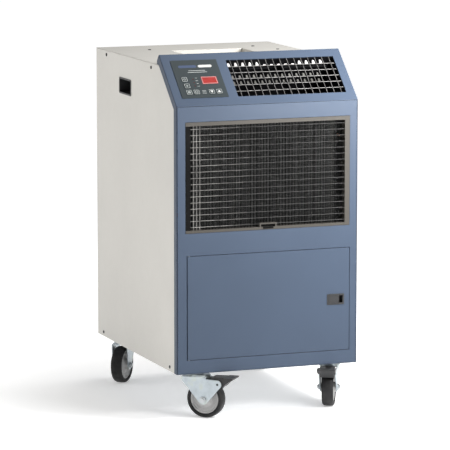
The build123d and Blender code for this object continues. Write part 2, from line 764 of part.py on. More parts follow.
# ---------------------------------------------------------------- coils and drip tray
coil_low = base_z + 370.0
coil_w = 400.0
coil_depth = 38.0
bend_pitch = 38.0
bend_radius = 12.0
coil_tube = 4.8
for coil_name, coil_y, coil_h in (("evaporator_coil", -282.0, 288.0), ("condenser_coil", -236.0, 238.0)):
    bend_count = int(coil_h / bend_pitch)
    coil_mid_z = coil_low + coil_h / 2
    with BuildPart() as coil:
        with BuildSketch(Plane.XY.offset(coil_low)):
            with Locations((0, coil_y)):
                Rectangle(coil_w, coil_depth - 6)
                with GridLocations(coil_w / 20, 0, 21, 1):
                    Rectangle(2, coil_depth)
        extrude(amount=coil_h)
        # Hairpin bends at both ends of the fin pack.
        for end in (-1, 1):
            for bend in range(bend_count):
                bend_z = coil_mid_z + (bend - (bend_count - 1) / 2) * bend_pitch
                bend_centre = (end * coil_w / 2, coil_y, bend_z)
                with BuildSketch(Plane(origin=bend_centre, x_dir=(0, 0, 1), z_dir=(end, 0, 0))):
                    with Locations((bend_radius, 0)):
                        Circle(coil_tube)
                revolve(axis=Axis(bend_centre, (0, end, 0)), revolution_arc=180)
    save(coil.part, coil_name)

tray_low = base_z + 340.0
tray_x = 216.0
tray_y = (-312.0, -208.0)
tray_rim = 18.0
spill_y = -250.0
with BuildPart() as drip_tray:
    with BuildSketch(Plane.XY.offset(tray_low)):
        with Locations((0, (tray_y[0] + tray_y[1]) / 2)):
            Rectangle(2 * tray_x, tray_y[1] - tray_y[0])
    extrude(amount=tray_rim)
    with BuildSketch(Plane.XY.offset(tray_low + 2)):
        with Locations((0, (tray_y[0] + tray_y[1]) / 2)):
            Rectangle(2 * tray_x - 4, tray_y[1] - tray_y[0] - 4)
    extrude(amount=tray_rim, mode=Mode.SUBTRACT)
    with BuildSketch(Plane.XY.offset(tray_low)):
        with Locations((0, spill_y)):
            Circle(9)
    extrude(amount=-20)
    with BuildSketch(Plane.XY.offset(tray_low + 2)):
        with Locations((0, spill_y)):
            Circle(7)
    extrude(amount=-22, mode=Mode.SUBTRACT)
save(drip_tray.part, "drip_tray")

# ---------------------------------------------------------------- condensate tank
tank_x = 196.0
tank_y = (-300.0, -146.0)
tank_feet = 10.0
tank_low = base_z + sheet + tank_feet
tank_height = 258.0
tank_wall = 3.0
with BuildPart() as condensate_tank:
    with BuildSketch(Plane.XY.offset(tank_low)):
        with Locations((0, (tank_y[0] + tank_y[1]) / 2)):
            RectangleRounded(2 * tank_x, tank_y[1] - tank_y[0], tank_wall)
    extrude(amount=tank_height)
    with BuildSketch(Plane.XY.offset(tank_low + tank_wall)):
        with Locations((0, (tank_y[0] + tank_y[1]) / 2)):
            Rectangle(2 * (tank_x - tank_wall), tank_y[1] - tank_y[0] - 2 * tank_wall)
    extrude(amount=tank_height, mode=Mode.SUBTRACT)
    with BuildSketch(Plane.XY.offset(tank_low)):
        with Locations((0, (tank_y[0] + tank_y[1]) / 2)):
            with GridLocations(260, 110, 2, 2):
                Circle(9)
    extrude(amount=-tank_feet)
save(condensate_tank.part, "condensate_tank")

# ---------------------------------------------------------------- compressor
compressor_place = (110.0, 60.0)
compressor_radius = 62.0
foot_height = 14.0
compressor_low = base_z + sheet + foot_height
compressor_height = 230.0
dome = 24.0
foot_reach = 92.0
compressor_plane = Plane(origin=(compressor_place[0], compressor_place[1], compressor_low))
with BuildPart() as compressor:
    with BuildSketch(compressor_plane.rotated((90, 0, 0))):
        with BuildLine():
            Polyline((0, 0), (compressor_radius - dome, 0))
            RadiusArc((compressor_radius - dome, 0), (compressor_radius, dome), -dome)
            Line((compressor_radius, dome), (compressor_radius, compressor_height - dome))
            RadiusArc(
                (compressor_radius, compressor_height - dome),
                (compressor_radius - dome, compressor_height),
                -dome,
            )
            Polyline((compressor_radius - dome, compressor_height), (0, compressor_height), (0, 0))
        make_face()
    revolve(axis=Axis((compressor_place[0], compressor_place[1], 0), (0, 0, 1)))
    with BuildSketch(compressor_plane):
        with PolarLocations(foot_reach - 20, 3):
            SlotOverall(50, 26)
    extrude(amount=4)
    with BuildSketch(compressor_plane):
        with PolarLocations(foot_reach - 8, 3):
            Circle(11)
    extrude(amount=-foot_height)
    with BuildSketch(compressor_plane.offset(compressor_height - 4)):
        Circle(9)
    extrude(amount=16)
save(compressor.part, "compressor")

# ---------------------------------------------------------------- refrigerant pipes
pipe_radius = 5.0
pipe_bend = 22.0
compressor_top = compressor_low + compressor_height + 12.0
pipe_high = coil_low + 230.0
pipe_low = base_z + 120.0
pipe_side = 236.0
pipe_gap = 0.2
compressor_x, compressor_y = compressor_place
routes = (
    (
        (compressor_x, compressor_y, compressor_top + pipe_gap),
        (compressor_x, compressor_y, compressor_top + 40),
        (pipe_side, compressor_y, compressor_top + 40),
        (pipe_side, compressor_y, pipe_high),
        (pipe_side, -236, pipe_high),
    ),
    (
        (-pipe_side, -282, coil_low + 45),
        (-pipe_side, -120, coil_low + 45),
        (-pipe_side, -120, pipe_low),
        (-pipe_side, compressor_y, pipe_low),
        (compressor_x - compressor_radius - pipe_gap, compressor_y, pipe_low),
    ),
)
with BuildPart() as refrigerant_pipes:
    for route in routes:
        with BuildLine():
            pipe_path = FilletPolyline(*route, radius=pipe_bend)
        with BuildSketch(Plane(origin=pipe_path @ 0, z_dir=pipe_path % 0)):
            Circle(pipe_radius)
        sweep(path=pipe_path)
save(refrigerant_pipes.part, "refrigerant_pipes")

# ---------------------------------------------------------------- electrical box
electrics_low = base_z + 330.0
with BuildPart() as electrical_box:
    with BuildSketch(Plane.XZ.offset(-rear_y + sheet + 0.5)):
        with Locations((-130, electrics_low + 120)):
            RectangleRounded(200, 240, 6)
    extrude(amount=90)
    with BuildSketch(Plane.XZ.offset(-rear_y + sheet + 90.5)):
        with Locations((-130, electrics_low + 120)):
            RectangleRounded(206, 246, 8)
    extrude(amount=6)
save(electrical_box.part, "electrical_box")

# ---------------------------------------------------------------- exterior screws
screw_radius = 4.5
head_height = 1.6
side_screws = ((561.3, 787.7), (194.2, 787.7), (597.6, 12.1), (54.3, 12.1))  # from the front, from the base
top_screws = ((112.7, 527.6), (415.2, 527.6), (447.7, 422.5))  # from the left edge, from the front
rear_screw_x = (-230.0, 0.0, 230.0)
rear_screw_z = (base_z + 14.0, base_z + 400.0, top_z - 14.0)
with BuildPart() as panel_screws:
    for sign in (-1, 1):
        with BuildSketch(Plane.YZ.offset(sign * half_width)):
            for screw_y, screw_z in side_screws:
                with Locations((front_y + screw_y, base_z + screw_z)):
                    Circle(screw_radius)
        extrude(amount=sign * head_height, taper=20)
    with BuildSketch(Plane.XY.offset(top_z)):
        for screw_x, screw_y in top_screws:
            with Locations((screw_x - half_width, front_y + screw_y)):
                Circle(screw_radius)
    extrude(amount=head_height, taper=20)
    with BuildSketch(Plane.XZ.offset(-rear_y)):
        for screw_x in rear_screw_x:
            for screw_z in rear_screw_z:
                with Locations((screw_x, screw_z)):
                    Circle(screw_radius)
    extrude(amount=-head_height, taper=20)
save(panel_screws.part, "panel_screws")

# ---------------------------------------------------------------- casters
# Every caster is made at the origin with its trailing side along +X, then placed.
crown_low = 106.5
crown_thickness = 3.0
crown_top = crown_low + crown_thickness
race_radius = 28.0
race_gap = 0.35
plate_out = 23.5
plate_in = 21.0
crown_front = 24.0
race_height = 2.6
race_cap_height = 2.4
axle_lobe = 13.5
pedal_pivot = (57.0, 93.5)
pivot_radius = 3.0
nut_radius = 9.5
nut_height = 6.0
collar_radius = 11.0
collar_height = 3.0
stem_clearance = 0.2
stem_step = 5.0  # the stem's shoulder above the crown

with BuildPart() as caster_stem:
    with BuildSketch(Plane.XY.offset(crown_low - stem_clearance - collar_height)):
        Circle(collar_radius)
    extrude(amount=collar_height)
    with BuildSketch(Plane.XY.offset(crown_low - stem_clearance)):
        Circle(stem_radius)
    extrude(amount=base_z - crown_low + sheet + nut_height + 2)
    with BuildSketch(Plane.XY.offset(crown_top + race_height + race_gap)):
        Circle(race_radius - 2)
    extrude(amount=race_cap_height)
    with BuildSketch(Plane.XY.offset(crown_top + stem_step + race_gap)):
        RegularPolygon(nut_radius, 6)
    extrude(amount=base_z - crown_top - stem_step - race_gap)
    with BuildSketch(Plane.XY.offset(base_z + sheet)):
        RegularPolygon(nut_radius, 6)
    extrude(amount=nut_height)

# The plates of a braked fork carry the pedal's pivot; those of a plain one end at the crown.
braked_lobes = ((-41.0, crown_top - 5, 5.0), (*pedal_pivot, 11.0))
plain_lobes = ((-22.0, crown_top - 6, 5.0), (30.0, crown_top - 6, 5.0))
crown_back = {True: -46.0, False: -26.0}
forks = {}
for braked, lobes in ((True, braked_lobes), (False, plain_lobes)):
    with BuildPart() as caster_fork:
        for start in (-plate_out, plate_in):
            with BuildSketch(Plane.XZ.offset(start)):
                with Locations((caster_trail, wheel_radius)):
                    Circle(axle_lobe)
                for lobe_u, lobe_z, lobe_radius in lobes:
                    with Locations((lobe_u, lobe_z)):
                        Circle(lobe_radius)
                make_hull()
                with Locations((caster_trail, wheel_radius)):
                    Circle(axle_radius, mode=Mode.SUBTRACT)
                if braked:
                    with Locations(pedal_pivot):
                        Circle(pivot_radius + running_gap, mode=Mode.SUBTRACT)
            extrude(amount=plate_out - plate_in)
        with BuildSketch(Plane.XY.offset(crown_low)):
            with Locations(((crown_back[braked] + crown_front) / 2, 0)):
                Rectangle(crown_front - crown_back[braked], 2 * plate_out)
            Circle(race_radius)
        extrude(amount=crown_thickness)
        with BuildSketch(Plane.XY.offset(crown_top)):
            Circle(race_radius)
        extrude(amount=race_height)
        with BuildSketch(Plane.XY.offset(crown_low)):
            Circle(stem_radius + running_gap)
        extrude(amount=crown_thickness + race_height + 1, mode=Mode.SUBTRACT)
    forks[braked] = caster_fork.part

axle_half = plate_out + 8
bolt_head_radius = 8.5
bolt_head_height = 5.0
with BuildPart() as caster_axle:
    with BuildSketch(Plane.XZ.offset(-axle_half)):
        with Locations((caster_trail, wheel_radius)):
            Circle(axle_radius)
    extrude(amount=2 * axle_half)
    for outward in (-1, 1):
        with BuildSketch(Plane.XZ.offset(outward * plate_out)):
            with Locations((caster_trail, wheel_radius)):
                RegularPolygon(bolt_head_radius, 6)
        extrude(amount=outward * bolt_head_height)

hub_radius = 13.0
hub_half = 20.0
core_half = 11.0
core_rim = 4.0
core_dish = 6.0
with BuildPart() as caster_core:
    with BuildSketch(Plane.XZ.offset(-hub_half)):
        with Locations((caster_trail, wheel_radius)):
            Circle(hub_radius)
    extrude(amount=2 * hub_half)
    with BuildSketch(Plane.XZ.offset(-core_half)):
        with Locations((caster_trail, wheel_radius)):
            Circle(core_radius)
    extrude(amount=2 * core_half)
    for outward in (-1, 1):
        with BuildSketch(Plane.XZ.offset(outward * core_half)):
            with Locations((caster_trail, wheel_radius)):
                Circle(core_radius - core_rim)
                Circle(hub_radius + core_rim, mode=Mode.SUBTRACT)
        extrude(amount=-outward * core_dish, mode=Mode.SUBTRACT)
    with BuildSketch(Plane.XZ.offset(-hub_half)):
        with Locations((caster_trail, wheel_radius)):
            Circle(axle_radius + running_gap)
    extrude(amount=2 * hub_half, mode=Mode.SUBTRACT)

tyre_shoulder = 8.0
with BuildPart() as caster_tyre:
    with BuildSketch(Plane.XZ.offset(-wheel_width / 2)):
        with Locations((caster_trail, wheel_radius)):
            Circle(wheel_radius)
            Circle(core_radius, mode=Mode.SUBTRACT)
    extrude(amount=wheel_width)
    shoulders = caster_tyre.edges().filter_by(GeomType.CIRCLE).filter_by(
        lambda e: e.radius > wheel_radius - 1
    )
    fillet(shoulders, tyre_shoulder)

# Pedal: a tread plate that widens outwards, on a boss that turns on the fork's lobes.
pedal_half = 19.0
tread_half = 24.5
with BuildPart() as caster_pedal:
    with BuildSketch(Plane.XZ.offset(-pedal_half)):
        with BuildLine():
            Polyline(
                (31, 105),
                (38, 111.5),
                (72, 112.5),
                (100, 112.5),
                (100, 109),
                (80, 96),
                (70, 86),
                (62, 85),
                (52, 92),
                (44, 102),
                (31, 103.5),
                close=True,
            )
        make_face()
    extrude(amount=2 * pedal_half)
    with BuildSketch(Plane.XZ.offset(-tread_half)):
        with BuildLine():
            Polyline((71, 105), (74, 112.5), (100, 112.5), (100, 109), (83, 98), close=True)
        make_face()
    extrude(amount=2 * tread_half)
    with BuildSketch(Plane.XZ.offset(-plate_out)):
        with Locations(pedal_pivot):
            Circle(pivot_radius)
    extrude(amount=2 * plate_out)


def place_caster(shape, spot):
    stem_x, stem_y, heading = spot
    return shape.moved(Location((stem_x, stem_y, 0), (0, 0, 90 - heading)))


stems = Compound(children=[place_caster(caster_stem.part.solid(), spot) for spot in caster_places.values()])
save(stems, "caster_stems")
for caster_name, spot in caster_places.items():
    braked = caster_name.startswith("front")
    save(place_caster(forks[braked], spot), "fork_" + caster_name)
    save(place_caster(caster_axle.part, spot), "axle_" + caster_name)
    save(place_caster(caster_core.part, spot), "wheel_core_" + caster_name)
    save(place_caster(caster_tyre.part, spot), "tyre_" + caster_name)
    if braked:
        save(place_caster(caster_pedal.part, spot), "pedal_" + caster_name)
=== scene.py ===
import json
from math import atan2, cos, pi, radians, sin

import bmesh
import bpy
from mathutils import Matrix, Vector


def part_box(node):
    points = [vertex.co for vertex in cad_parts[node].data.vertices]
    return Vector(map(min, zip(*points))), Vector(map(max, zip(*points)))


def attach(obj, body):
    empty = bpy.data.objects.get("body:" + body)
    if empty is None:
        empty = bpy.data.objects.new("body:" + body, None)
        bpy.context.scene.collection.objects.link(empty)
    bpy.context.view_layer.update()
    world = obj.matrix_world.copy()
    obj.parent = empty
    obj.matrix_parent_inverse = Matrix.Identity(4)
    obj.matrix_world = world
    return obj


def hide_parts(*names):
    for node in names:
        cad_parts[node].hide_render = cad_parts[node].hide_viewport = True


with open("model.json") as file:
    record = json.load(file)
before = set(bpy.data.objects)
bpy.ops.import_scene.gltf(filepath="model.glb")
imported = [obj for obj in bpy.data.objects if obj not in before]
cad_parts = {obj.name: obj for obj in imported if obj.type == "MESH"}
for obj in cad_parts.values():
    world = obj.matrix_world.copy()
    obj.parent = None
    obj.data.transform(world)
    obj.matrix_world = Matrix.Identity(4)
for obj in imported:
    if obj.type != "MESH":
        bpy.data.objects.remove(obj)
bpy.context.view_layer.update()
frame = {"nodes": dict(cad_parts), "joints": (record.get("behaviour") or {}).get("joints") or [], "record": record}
NODES = frame["nodes"]
JOINTS = {joint["name"]: joint for joint in frame["joints"]}

# ---------------------------------------------------------------- places from the frame
MM = 0.001
FRAME_LOW, FRAME_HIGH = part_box("front_frame")
LEFT_X, FRONT_Y, BASE_Z = FRAME_LOW
RIGHT_X = FRAME_HIGH[0]
CREST_Z = FRAME_HIGH[2]
SLOPE_RISE = 0.122
SLOPE_RUN = 0.1347
SLOPE_ANGLE = atan2(SLOPE_RISE, SLOPE_RUN)
UP = Vector((0, cos(SLOPE_ANGLE), sin(SLOPE_ANGLE)))
OUT = Vector((0, -sin(SLOPE_ANGLE), cos(SLOPE_ANGLE)))
SLOPE_ORIGIN = Vector((LEFT_X, FRONT_Y, CREST_Z - SLOPE_RISE))


def on_slope(x, s, d):
    """A point x from the cabinet's left edge, s up the slope and d proud of it, in metres."""
    return SLOPE_ORIGIN + Vector((x, 0, 0)) + UP * s + OUT * d


def slope_place(node):
    """The slope coordinates of the middle of a node, and how far its top stands proud."""
    low, high = (Vector(corner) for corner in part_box(node))
    middle = (low + high) / 2 - SLOPE_ORIGIN
    top = max((vertex.co - SLOPE_ORIGIN).dot(OUT) for vertex in NODES[node].data.vertices)
    return middle.x, middle.dot(UP), top


# ---------------------------------------------------------------- materials
def new_material(name, rough=0.5, metal=0.0, spec=0.5):
    mat = bpy.data.materials.new(name)
    mat.use_nodes = True
    shader = mat.node_tree.nodes["Principled BSDF"]
    shader.inputs["Roughness"].default_value = rough
    shader.inputs["Metallic"].default_value = metal
    shader.inputs["Specular IOR Level"].default_value = spec
    return mat, mat.node_tree, shader


def noise(tree, scale, detail=3.0, rough=0.5, stretch=(1, 1, 1)):
    coords = tree.nodes.new("ShaderNodeTexCoord")
    mapping = tree.nodes.new("ShaderNodeMapping")
    mapping.inputs["Scale"].default_value = stretch
    tex = tree.nodes.new("ShaderNodeTexNoise")
    tex.inputs["Scale"].default_value = scale
    tex.inputs["Detail"].default_value = detail
    tex.inputs["Roughness"].default_value = rough
    tree.links.new(coords.outputs["Object"], mapping.inputs["Vector"])
    tree.links.new(mapping.outputs["Vector"], tex.inputs["Vector"])
    return tex.outputs["Fac"]


def ramp(tree, fac, stops):
    node = tree.nodes.new("ShaderNodeValToRGB")
    elements = node.color_ramp.elements
    while len(elements) < len(stops):
        elements.new(0.5)
    for element, (place, colour) in zip(elements, stops):
        element.position = place
        element.color = (*colour, 1)
    tree.links.new(fac, node.inputs["Fac"])
    return node.outputs["Color"]


def remap(tree, fac, low, high):
    node = tree.nodes.new("ShaderNodeMapRange")
    node.inputs["From Min"].default_value = 0.3
    node.inputs["From Max"].default_value = 0.7
    node.inputs["To Min"].default_value = low
    node.inputs["To Max"].default_value = high
    tree.links.new(fac, node.inputs["Value"])
    return node.outputs["Result"]


def bump(tree, shader, fac, strength, distance):
    node = tree.nodes.new("ShaderNodeBump")
    node.inputs["Strength"].default_value = strength
    node.inputs["Distance"].default_value = distance
    tree.links.new(fac, node.inputs["Height"])
    tree.links.new(node.outputs["Normal"], shader.inputs["Normal"])


def shade(colour, factor):
    return tuple(min(1.0, channel * factor) for channel in colour)


def surface(name, colour, rough, grain, grain_depth, metal=0.0, spec=0.5, drift=0.06, coat=0.0):
    """A finish with slow colour drift, a fine grain and uneven gloss."""
    mat, tree, shader = new_material(name, rough, metal, spec)
    drift_fac = noise(tree, 7.0, 4.0)
    stops = ((0.3, shade(colour, 1 - drift)), (0.7, shade(colour, 1 + drift)))
    tree.links.new(ramp(tree, drift_fac, stops), shader.inputs["Base Color"])
    gloss = remap(tree, noise(tree, 60.0, 5.0), rough * 0.9, rough * 1.1)
    tree.links.new(gloss, shader.inputs["Roughness"])
    bump(tree, shader, noise(tree, grain, 2.0), 0.25, grain_depth)
    shader.inputs["Coat Weight"].default_value = coat
    return mat


def zinc_plate(name, colour):
    """Bright zinc: cloudy passivation tints over fine drawing marks."""
    mat, tree, shader = new_material(name, 0.35, 0.85)
    stops = (
        (0.25, shade(colour, 0.82)),
        (0.5, colour),
        (0.62, (colour[0] * 1.05, colour[1] * 1.03, colour[2] * 0.92)),
        (0.8, (colour[0] * 0.92, colour[1] * 0.98, min(1.0, colour[2] * 1.08))),
    )
    tree.links.new(ramp(tree, noise(tree, 38.0, 4.0, 0.6), stops), shader.inputs["Base Color"])
    gloss = remap(tree, noise(tree, 90.0, 4.0), 0.28, 0.46)
    tree.links.new(gloss, shader.inputs["Roughness"])
    bump(tree, shader, noise(tree, 420.0, 2.0, stretch=(1, 1, 6)), 0.2, 0.0002)
    return mat


def galvanised(name):
    """Galvanised sheet with a spangle of pale and dark crystals."""
    mat, tree, shader = new_material(name, 0.45, 0.8)
    coords = tree.nodes.new("ShaderNodeTexCoord")
    cells = tree.nodes.new("ShaderNodeTexVoronoi")
    cells.inputs["Scale"].default_value = 110.0
    tree.links.new(coords.outputs["Object"], cells.inputs["Vector"])
    split = tree.nodes.new("ShaderNodeSeparateColor")
    tree.links.new(cells.outputs["Color"], split.inputs["Color"])
    stops = ((0.0, (0.42, 0.44, 0.46)), (1.0, (0.62, 0.64, 0.66)))
    tree.links.new(ramp(tree, split.outputs["Red"], stops), shader.inputs["Base Color"])
    tree.links.new(remap(tree, split.outputs["Green"], 0.32, 0.5), shader.inputs["Roughness"])
    bump(tree, shader, noise(tree, 300.0), 0.15, 0.0002)
    return mat


def rubber(name):
    """Black rubber, a little dusty where it rolls."""
    mat, tree, shader = new_material(name, 0.55, 0.0, 0.3)
    stops = ((0.35, (0.008, 0.008, 0.009)), (0.75, (0.024, 0.023, 0.022)))
    tree.links.new(ramp(tree, noise(tree, 45.0, 6.0, 0.65), stops), shader.inputs["Base Color"])
    tree.links.new(remap(tree, noise(tree, 80.0, 4.0), 0.45, 0.68), shader.inputs["Roughness"])
    bump(tree, shader, noise(tree, 900.0, 2.0), 0.35, 0.0003)
    return mat


def fins(name, colour, pitch, axis):
    """Fin pack: fine upright grooves across one axis, darkened in the grooves as painted shade."""
    mat, tree, shader = new_material(name, 0.45, 0.7)
    coords = tree.nodes.new("ShaderNodeTexCoord")
    wave = tree.nodes.new("ShaderNodeTexWave")
    wave.bands_direction = axis
    wave.inputs["Scale"].default_value = 0.31 / pitch
    wave.inputs["Distortion"].default_value = 0.3
    tree.links.new(coords.outputs["Object"], wave.inputs["Vector"])
    # The wave's dark bands are painted shade in the gaps between the fins.
    stops = ((0.2, shade(colour, 0.25)), (0.8, colour))
    tree.links.new(ramp(tree, wave.outputs["Fac"], stops), shader.inputs["Base Color"])
    bump(tree, shader, wave.outputs["Fac"], 0.6, 0.0008)
    return mat


def lens(name, colour, glow):
    """Tinted lens, lit faintly from behind."""
    mat, tree, shader = new_material(name, 0.18)
    stops = ((0.3, shade(colour, 0.9)), (0.7, shade(colour, 1.12)))
    tint = ramp(tree, noise(tree, 60.0, 2.0), stops)
    tree.links.new(tint, shader.inputs["Base Color"])
    tree.links.new(tint, shader.inputs["Emission Color"])
    shader.inputs["Emission Strength"].default_value = glow
    bump(tree, shader, noise(tree, 500.0), 0.05, 0.0001)
    return mat


BLUE = (0.051, 0.071, 0.108)
WHITE = (0.640, 0.620, 0.575)
MATS = {
    "blue_paint": surface("blue_powder_coat", BLUE, 0.42, 1500.0, 0.0002, spec=0.22, drift=0.03),
    "white_paint": surface("white_powder_coat", WHITE, 0.5, 1500.0, 0.0002, drift=0.02),
    "black_plastic": surface(
        "black_plastic", (0.022, 0.022, 0.023), 0.42, 1200.0, 0.0003, spec=0.45, drift=0.2
    ),
    "filter_plastic": surface("taupe_plastic", (0.058, 0.053, 0.046), 0.5, 1000.0, 0.0003, spec=0.25),
    "filter_net": surface("net_plastic", (0.005, 0.005, 0.005), 0.7, 900.0, 0.0002, spec=0.06, drift=0.3),
    "label_film": surface("label_film", (0.020, 0.028, 0.031), 0.42, 800.0, 0.0001, spec=0.3, drift=0.06),
    "button_film": surface("button_film", (0.027, 0.036, 0.037), 0.42, 800.0, 0.0001, spec=0.3, drift=0.08),
    "display_lens": lens("display_red", (0.25, 0.020, 0.017), 0.01),
    "indicator_lens": lens("indicator_lens", (0.085, 0.03, 0.025), 0.01),
    "bare_wire": surface("plated_wire", (0.17, 0.165, 0.16), 0.42, 700.0, 0.0002, metal=0.3, drift=0.15),
    "duct_plastic": surface("duct_black", (0.006, 0.006, 0.007), 0.4, 700.0, 0.0003, spec=0.2, drift=0.2),
    "zinc": zinc_plate("zinc_plate", (0.47, 0.52, 0.55)),
    "screw_steel": surface("screw_black", (0.020, 0.020, 0.022), 0.45, 900.0, 0.0002, spec=0.25, drift=0.15),
    "pin_steel": surface("bolt_steel", (0.52, 0.54, 0.55), 0.32, 800.0, 0.0002, metal=0.9, drift=0.1),
    "wheel_core": surface("core_grey", (0.42, 0.415, 0.41), 0.42, 900.0, 0.0002, drift=0.06),
    "tyre_rubber": rubber("tyre_rubber"),
    "galvanised": galvanised("galvanised_sheet"),
    "fin_aluminium": fins("fin_aluminium", (0.16, 0.16, 0.155), 0.0021, "X"),
    "copper": surface("copper_tube", (0.60, 0.29, 0.17), 0.3, 500.0, 0.0002, metal=0.9, drift=0.15),
    "compressor_black": surface("enamel_black", (0.015, 0.015, 0.017), 0.22, 400.0, 0.0003, coat=0.4),
    "tank_plastic": surface("tank_plastic", (0.62, 0.63, 0.60), 0.45, 700.0, 0.0003, drift=0.04),
    # grey_plastic is near-black: partly the parts' own black plastic, partly painted shade of the cabinet's
    # inside.
    "grey_plastic": surface("grey_plastic", (0.020, 0.020, 0.021), 0.5, 900.0, 0.0003, spec=0.3, drift=0.1),
    "board_green": surface("board_green", (0.012, 0.075, 0.03), 0.35, 350.0, 0.0002, drift=0.25),
}


def painted_light_wire(name):
    """Wire painted pale at the cabinet's left end and near-black towards the right, in patches: a painted
    highlight fading into painted shade.
    """
    mat, tree, shader = new_material(name, 0.45, 0.3, 0.35)
    coords = tree.nodes.new("ShaderNodeTexCoord")
    split = tree.nodes.new("ShaderNodeSeparateXYZ")
    tree.links.new(coords.outputs["Object"], split.inputs["Vector"])
    reach = tree.nodes.new("ShaderNodeMapRange")
    reach.inputs["From Min"].default_value = LEFT_X
    reach.inputs["From Max"].default_value = 0.12
    tree.links.new(split.outputs["X"], reach.inputs["Value"])
    blend = tree.nodes.new("ShaderNodeMath")
    blend.operation = "MULTIPLY_ADD"
    tree.links.new(noise(tree, 26.0, 4.0, 0.7), blend.inputs[0])
    blend.inputs[1].default_value = 0.9
    tree.links.new(reach.outputs["Result"], blend.inputs[2])
    # Painted light: pale where the wire is lit near the left end, near-black painted shade further right.
    stops = ((0.35, (0.33, 0.32, 0.30)), (0.75, (0.13, 0.125, 0.12)), (1.0, (0.035, 0.034, 0.033)))
    tree.links.new(ramp(tree, blend.outputs["Value"], stops), shader.inputs["Base Color"])
    bump(tree, shader, noise(tree, 800.0), 0.2, 0.0002)
    return mat


# Wire finish with a painted highlight at the left and painted shade to the right.
PAINTED_LIGHT_WIRE = painted_light_wire("painted_light_wire")
# Clip colours: a pale one painted as a highlight, a dull one painted as shade.
NYLON_PAINTED_HIGHLIGHT = surface("clip_painted_highlight", (0.62, 0.60, 0.59), 0.4, 700.0, 0.0002, drift=0.1)
NYLON_PAINTED_SHADE = surface("clip_painted_shade", (0.085, 0.083, 0.075), 0.5, 700.0, 0.0002, drift=0.3)
PRINT_GREY = surface("print_grey", (0.36, 0.38, 0.37), 0.5, 900.0, 0.00005, drift=0.05)
PRINT_WHITE = surface("print_white", (0.46, 0.46, 0.45), 0.5, 900.0, 0.00005, drift=0.04)
PRINT_BLUE = surface("print_blue", (0.028, 0.048, 0.100), 0.5, 900.0, 0.00005, drift=0.06)
PRINT_PINK = surface("print_pink", (0.40, 0.17, 0.16), 0.5, 900.0, 0.00005, drift=0.05)

SLOT_OF = {entry["node"]: entry["material_slot"] for entry in frame["record"]["subparts"]}
for node_name, obj in NODES.items():
    obj.data.materials.clear()
    obj.data.materials.append(MATS[SLOT_OF[node_name]])
# The blower housing and fan wheel are drawn near-black: painted shade of the cabinet's closed inside, over the
# fan's own dark plastic.
BLOWER_BLACK = surface("blower_black", (0.006, 0.006, 0.007), 0.6, 500.0, 0.0003, spec=0.15, drift=0.3)
for node_name in ("blower_housing", "fan_wheel"):
    NODES[node_name].data.materials[0] = BLOWER_BLACK


# ---------------------------------------------------------------- mesh helpers
def body_of(node):
    for body, members in frame["record"]["behaviour"]["bodies"].items():
        if node in members:
            return body
    return None


def finish_piece(name, bm, material, body, replaced=(), smooth=True, angle=35):
    """Turns the mesh into a piece that rides a body and stands for any replaced nodes."""
    mesh = bpy.data.meshes.new(name)
    bm.normal_update()
    bm.to_mesh(mesh)
    bm.free()
    mesh.materials.append(material)
    piece = bpy.data.objects.new(name, mesh)
    bpy.context.scene.collection.objects.link(piece)
    if smooth:
        for polygon in mesh.polygons:
            polygon.use_smooth = True
        mesh.set_sharp_from_angle(angle=radians(angle))
    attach(piece, body)
    if replaced:
        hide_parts(*replaced)
    return piece


def weight_normals(mesh, limit=50):
    """Bends each corner's normal towards its largest faces, so flat sheets stay flat."""
    near = [[] for _ in mesh.vertices]
    faces = [(polygon.normal.copy(), polygon.area) for polygon in mesh.polygons]
    for polygon in mesh.polygons:
        for corner in polygon.vertices:
            near[corner].append(polygon.index)
    normals = []
    for polygon in mesh.polygons:
        for corner in polygon.vertices:
            total = Vector((0, 0, 0))
            for index in near[corner]:
                normal, area = faces[index]
                if normal.dot(polygon.normal) > cos(radians(limit)):
                    total += normal * area
            normals.append(total.normalized() if total.length else polygon.normal)
    mesh.normals_split_custom_set(normals)


def refined(node, width, segments=2, limit=28):
    """The node's own shape with its sharp edges rounded by width."""
    bm = bmesh.new()
    bm.from_mesh(NODES[node].data)
    bmesh.ops.remove_doubles(bm, verts=bm.verts, dist=1e-6)
    bmesh.ops.dissolve_limit(bm, angle_limit=radians(1.0), verts=bm.verts, edges=bm.edges)
    sharp = [
        edge for edge in bm.edges
        if len(edge.link_faces) == 2 and edge.calc_face_angle(0) > radians(limit)
    ]
    bmesh.ops.bevel(
        bm, geom=sharp, offset=width, segments=segments, profile=0.5, affect="EDGES", clamp_overlap=True
    )
    bmesh.ops.triangulate(bm, faces=[face for face in bm.faces if len(face.verts) > 4])
    slot = SLOT_OF[node]
    piece = finish_piece(node + "_skin", bm, MATS[slot], body_of(node), (node,))
    weight_normals(piece.data)
    return piece


def basis(axis):
    axis = Vector(axis).normalized()
    helper = Vector((0, 0, 1)) if abs(axis.z) < 0.9 else Vector((1, 0, 0))
    side = axis.cross(helper).normalized()
    return side, axis.cross(side).normalized(), axis


def rod(bm, start, end, radius, sides=10):
    """A capped round bar between two points."""
    start, end = Vector(start), Vector(end)
    side, other, _ = basis(end - start)
    rings = []
    for centre in (start, end):
        ring = []
        for step in range(sides):
            turn = 2 * pi * step / sides
            ring.append(bm.verts.new(centre + (side * cos(turn) + other * sin(turn)) * radius))
        rings.append(ring)
    for step in range(sides):
        after = (step + 1) % sides
        bm.faces.new((rings[0][step], rings[0][after], rings[1][after], rings[1][step]))
    bm.faces.new(list(reversed(rings[0])))
    bm.faces.new(rings[1])


